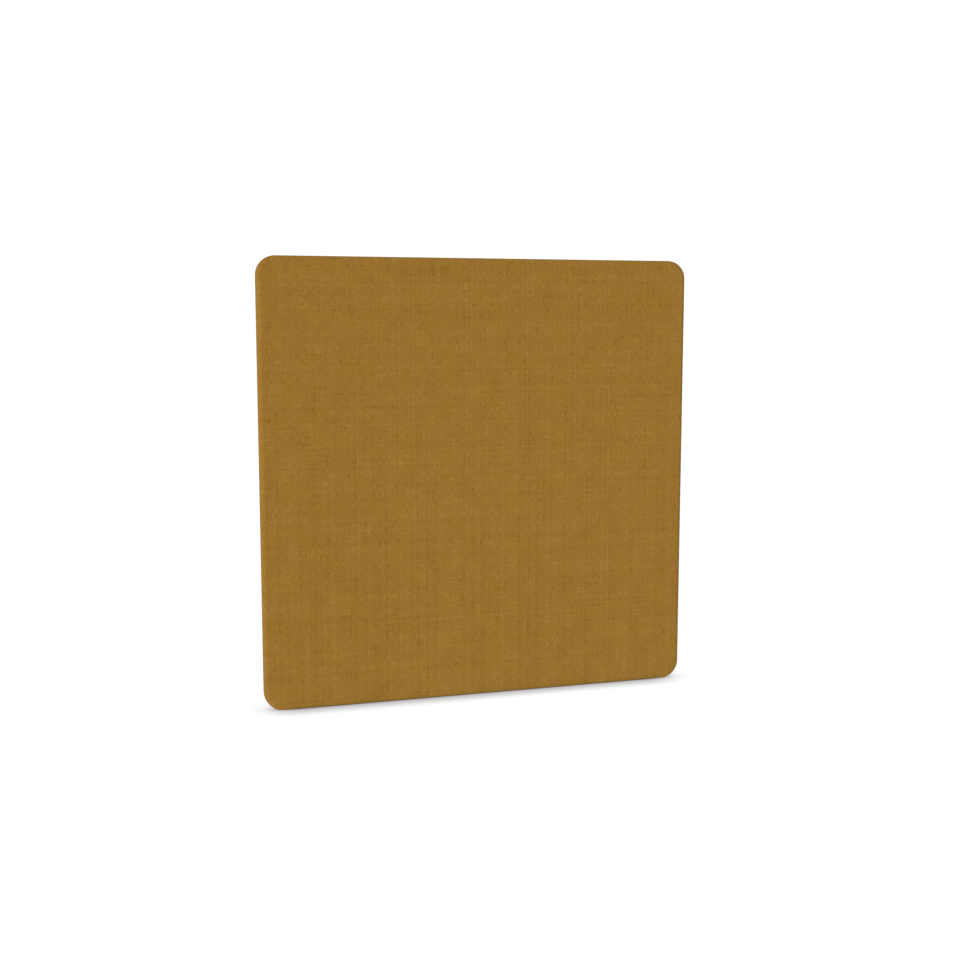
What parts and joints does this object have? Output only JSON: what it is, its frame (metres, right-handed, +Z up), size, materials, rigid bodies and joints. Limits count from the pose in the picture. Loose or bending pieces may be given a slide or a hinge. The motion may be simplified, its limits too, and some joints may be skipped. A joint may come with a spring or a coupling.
{
  "type": "acoustic divider screen",
  "caption": "Free-standing square acoustic divider screen with rounded corners, upholstered on both sides in plain mustard woven cloth.",
  "frame": {"origin": "centre of the underside, on the floor that the screen stands on", "axes": "+X along the screen, -Y out of the front face, +Z up"},
  "size_m": [1.2, 0.04, 1.2],
  "materials": {
    "cover_fabric": "woven wool, mustard",
    "foam": "open-cell foam, matte",
    "absorber": "polyester felt slab, matte",
    "closing_felt": "black felt strip, matte",
    "pine": "planed softwood",
    "beech": "fluted beech dowel",
    "hardboard": "smooth hardboard",
    "steel": "zinc-plated",
    "nylon": "moulded nylon, matte"
  },
  "bodies": {
    "panel": {"front_cover": "cover_fabric", "back_cover": "cover_fabric", "front_foam": "foam", "back_foam": "foam", "left_stile": "pine", "right_stile": "pine", "top_rail": "pine", "bottom_rail": "pine", "centre_upright": "pine", "top_left_corner_block": "pine", "top_right_corner_block": "pine", "bottom_left_corner_block": "pine", "bottom_right_corner_block": "pine", "left_septum": "hardboard", "right_septum": "hardboard", "front_left_absorber": "absorber", "front_right_absorber": "absorber", "back_left_absorber": "absorber", "back_right_absorber": "absorber", "frame_dowels": "beech", "closing_strip": "closing_felt", "cover_staples": "steel", "foot_inserts": "steel", "glide_sleeves": "steel"},
    "left_glide_pad": {"left_glide_pad": "nylon"},
    "left_glide_stem": {"left_glide_stem": "steel"},
    "right_glide_pad": {"right_glide_pad": "nylon"},
    "right_glide_stem": {"right_glide_stem": "steel"}
  },
  "joints": [
    {"name": "left_glide_travel", "type": "slide", "parent": "panel", "child": "left_glide_pad", "axis": [0, 0, 1], "range_m": [-0.008, 0]},
    {"name": "left_glide_turn", "type": "hinge", "parent": "left_glide_pad", "child": "left_glide_stem", "pos_m": [-0.47, 0, 0.02], "axis": [0, 0, 1], "range_deg": [-2304, 0]},
    {"name": "right_glide_travel", "type": "slide", "parent": "panel", "child": "right_glide_pad", "axis": [0, 0, 1], "range_m": [-0.008, 0]},
    {"name": "right_glide_turn", "type": "hinge", "parent": "right_glide_pad", "child": "right_glide_stem", "pos_m": [0.47, 0, 0.02], "axis": [0, 0, 1], "range_deg": [-2304, 0]}
  ],
  "couplings": [
    {"joint": "left_glide_travel", "follows": "left_glide_turn", "m_per_rad": 0.00019894},
    {"joint": "right_glide_travel", "follows": "right_glide_turn", "m_per_rad": 0.00019894}
  ]
}
